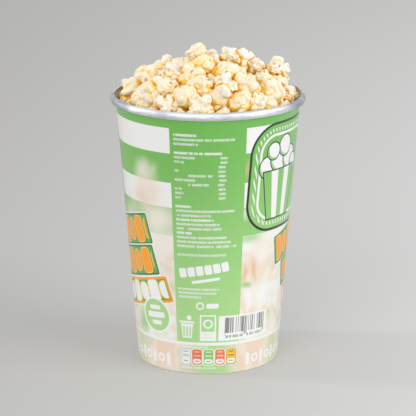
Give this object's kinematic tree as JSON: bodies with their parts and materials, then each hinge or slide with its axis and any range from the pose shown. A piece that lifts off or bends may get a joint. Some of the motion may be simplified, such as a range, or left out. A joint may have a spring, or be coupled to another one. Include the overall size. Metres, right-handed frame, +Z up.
{
  "type": "bucket of popcorn",
  "caption": "Tapered printed paper tub with a seamed metal rim, full of popcorn that heaps up above the rim, a snack to carry and eat from.",
  "frame": {"origin": "middle of the circle that the tub stands on", "axes": "+Z up along the tub's axis, -Y towards the printed information panel, +X to its right"},
  "size_m": [0.13, 0.13, 0.2135],
  "materials": {
    "printed_board": "printed green and white, satin varnish outside, metallised liner inside",
    "base_board": "plain board",
    "rim_metal": "satin, rolled",
    "popcorn": "dry, matte, lightly glazed where golden"
  },
  "bodies": {
    "root": {"tub_wall": "printed_board", "tub_base": "base_board", "rim_ring": "rim_metal", "popcorn": "popcorn"}
  },
  "joints": []
}
